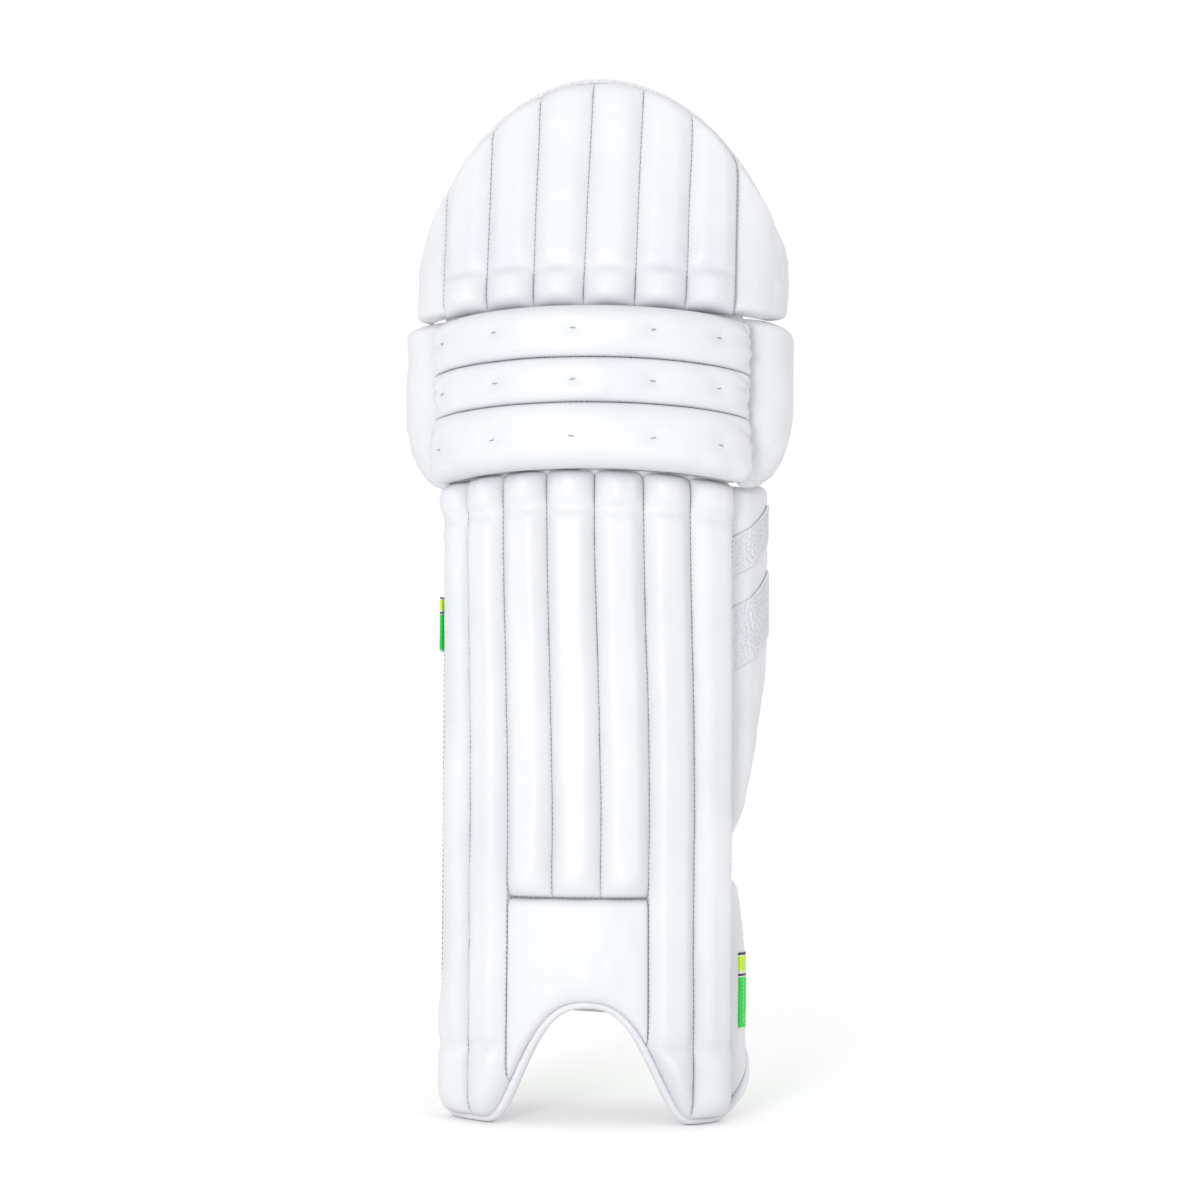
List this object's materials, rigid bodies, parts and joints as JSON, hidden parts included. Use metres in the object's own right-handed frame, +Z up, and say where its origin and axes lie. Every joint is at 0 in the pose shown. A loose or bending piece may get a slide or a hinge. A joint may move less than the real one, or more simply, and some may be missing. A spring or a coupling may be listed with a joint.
{
  "type": "cricket batting leg guard",
  "caption": "Padded leg guard with caned shin, three-roll knee, hinged top flap, side wings, arched instep and strap closures.",
  "frame": {"origin": "on the floor, under the middle of the pad's bounding box as it stands on its feet", "axes": "+X towards the outer side of the leg, +Y from the pad's face towards the wearer, +Z up"},
  "size_m": [0.2992, 0.2062, 0.7814],
  "materials": {
    "face": "smooth white synthetic leather",
    "textured_face": "white synthetic leather embossed with fine waves",
    "binding": "white edge binding, stitched",
    "lining": "white woven cotton drill",
    "foam": "pale dense foam",
    "cane": "plain cane",
    "webbing": "white strap with yellow and green bands",
    "loop_tape": "white loop pile tape"
  },
  "bodies": {
    "shin": {"shin_face_cover": "face", "shin_foam_backing": "foam", "shin_lining": "lining", "shin_cane_1": "cane", "shin_cane_2": "cane", "shin_cane_3": "cane", "shin_cane_4": "cane", "shin_cane_5": "cane", "shin_cane_6": "cane", "shin_cane_7": "cane", "instep_panel": "face", "inner_side_flap": "face", "outer_side_flap": "face", "bottom_binding": "binding", "shin_bolster_inner": "lining", "shin_bolster_outer": "lining", "instep_pad": "lining", "ankle_strap_anchor": "webbing", "ankle_loop_patch": "loop_tape", "calf_loop_patch": "loop_tape"},
    "outer_wing": {"outer_wing_cover": "face", "outer_wing_foam": "foam", "outer_wing_lining": "lining", "wing_grip_panel_upper": "textured_face", "wing_grip_panel_lower": "textured_face", "calf_strap_anchor": "webbing"},
    "knee": {"knee_foam_backing": "foam", "knee_lining": "lining", "knee_roll_lower_cover": "face", "knee_roll_lower_core": "foam", "knee_roll_middle_cover": "face", "knee_roll_middle_core": "foam", "knee_roll_upper_cover": "face", "knee_roll_upper_core": "foam", "knee_ear_inner": "face", "knee_ear_outer": "face", "knee_cradle_inner": "lining", "knee_cradle_outer": "lining", "knee_strap_anchor": "webbing", "knee_loop_patch": "loop_tape"},
    "top_flap": {"top_flap_face_cover": "face", "top_flap_foam_backing": "foam", "top_flap_lining": "lining", "top_flap_cane_1": "cane", "top_flap_cane_2": "cane", "top_flap_cane_3": "cane", "top_flap_cane_4": "cane", "top_flap_cane_5": "cane", "top_flap_cane_6": "cane", "top_flap_wing_inner": "face", "top_flap_wing_outer": "face", "top_flap_binding": "binding"},
    "ankle_strap_body": {"ankle_strap": "webbing"},
    "ankle_tab_body": {"ankle_strap_tab": "webbing"},
    "calf_strap_body": {"calf_strap": "webbing"},
    "calf_tab_body": {"calf_strap_tab": "webbing"},
    "knee_strap_body": {"knee_strap": "webbing"},
    "knee_tab_body": {"knee_strap_tab": "webbing"}
  },
  "joints": [
    {"name": "knee_flex", "type": "hinge", "parent": "shin", "child": "knee", "pos_m": [0.0019, -0.021, 0.4826], "axis": [-1, 0, 0], "range_deg": [0, 15], "stiffness_Nm_per_rad": 6, "springref_deg": -5.73},
    {"name": "top_flap_flex", "type": "hinge", "parent": "knee", "child": "top_flap", "pos_m": [0.0019, -0.0213, 0.6047], "axis": [-1, 0, 0], "range_deg": [0, 18], "stiffness_Nm_per_rad": 4, "springref_deg": -5.73},
    {"name": "outer_wing_flex", "type": "hinge", "parent": "shin", "child": "outer_wing", "pos_m": [0.1026, -0.0153, 0.3282], "axis": [0, -0.0384, -0.9993], "range_deg": [0, 25], "stiffness_Nm_per_rad": 1, "springref_deg": -2.86},
    {"name": "ankle_strap_swing", "type": "hinge", "parent": "shin", "child": "ankle_strap_body", "pos_m": [0.108, 0.0243, 0.0935], "axis": [0, -0.0384, -0.9993], "range_deg": [0, 90]},
    {"name": "ankle_tab_peel", "type": "hinge", "parent": "ankle_strap_body", "child": "ankle_tab_body", "pos_m": [-0.1075, 0.024, 0.0935], "axis": [0, -0.0384, -0.9993], "range_deg": [0, 90]},
    {"name": "calf_strap_swing", "type": "hinge", "parent": "outer_wing", "child": "calf_strap_body", "pos_m": [0.1104, 0.0587, 0.3684], "axis": [0, -0.0384, -0.9993], "range_deg": [0, 65]},
    {"name": "calf_tab_peel", "type": "hinge", "parent": "calf_strap_body", "child": "calf_tab_body", "pos_m": [-0.1075, 0.0346, 0.3693], "axis": [0, -0.0384, -0.9993], "range_deg": [0, 90]},
    {"name": "knee_strap_swing", "type": "hinge", "parent": "knee", "child": "knee_strap_body", "pos_m": [0.1313, 0.0619, 0.5404], "axis": [0, -0.0384, -0.9993], "range_deg": [0, 75]},
    {"name": "knee_tab_peel", "type": "hinge", "parent": "knee_strap_body", "child": "knee_tab_body", "pos_m": [-0.1426, 0.0578, 0.5406], "axis": [0, -0.0384, -0.9993], "range_deg": [0, 70]}
  ]
}
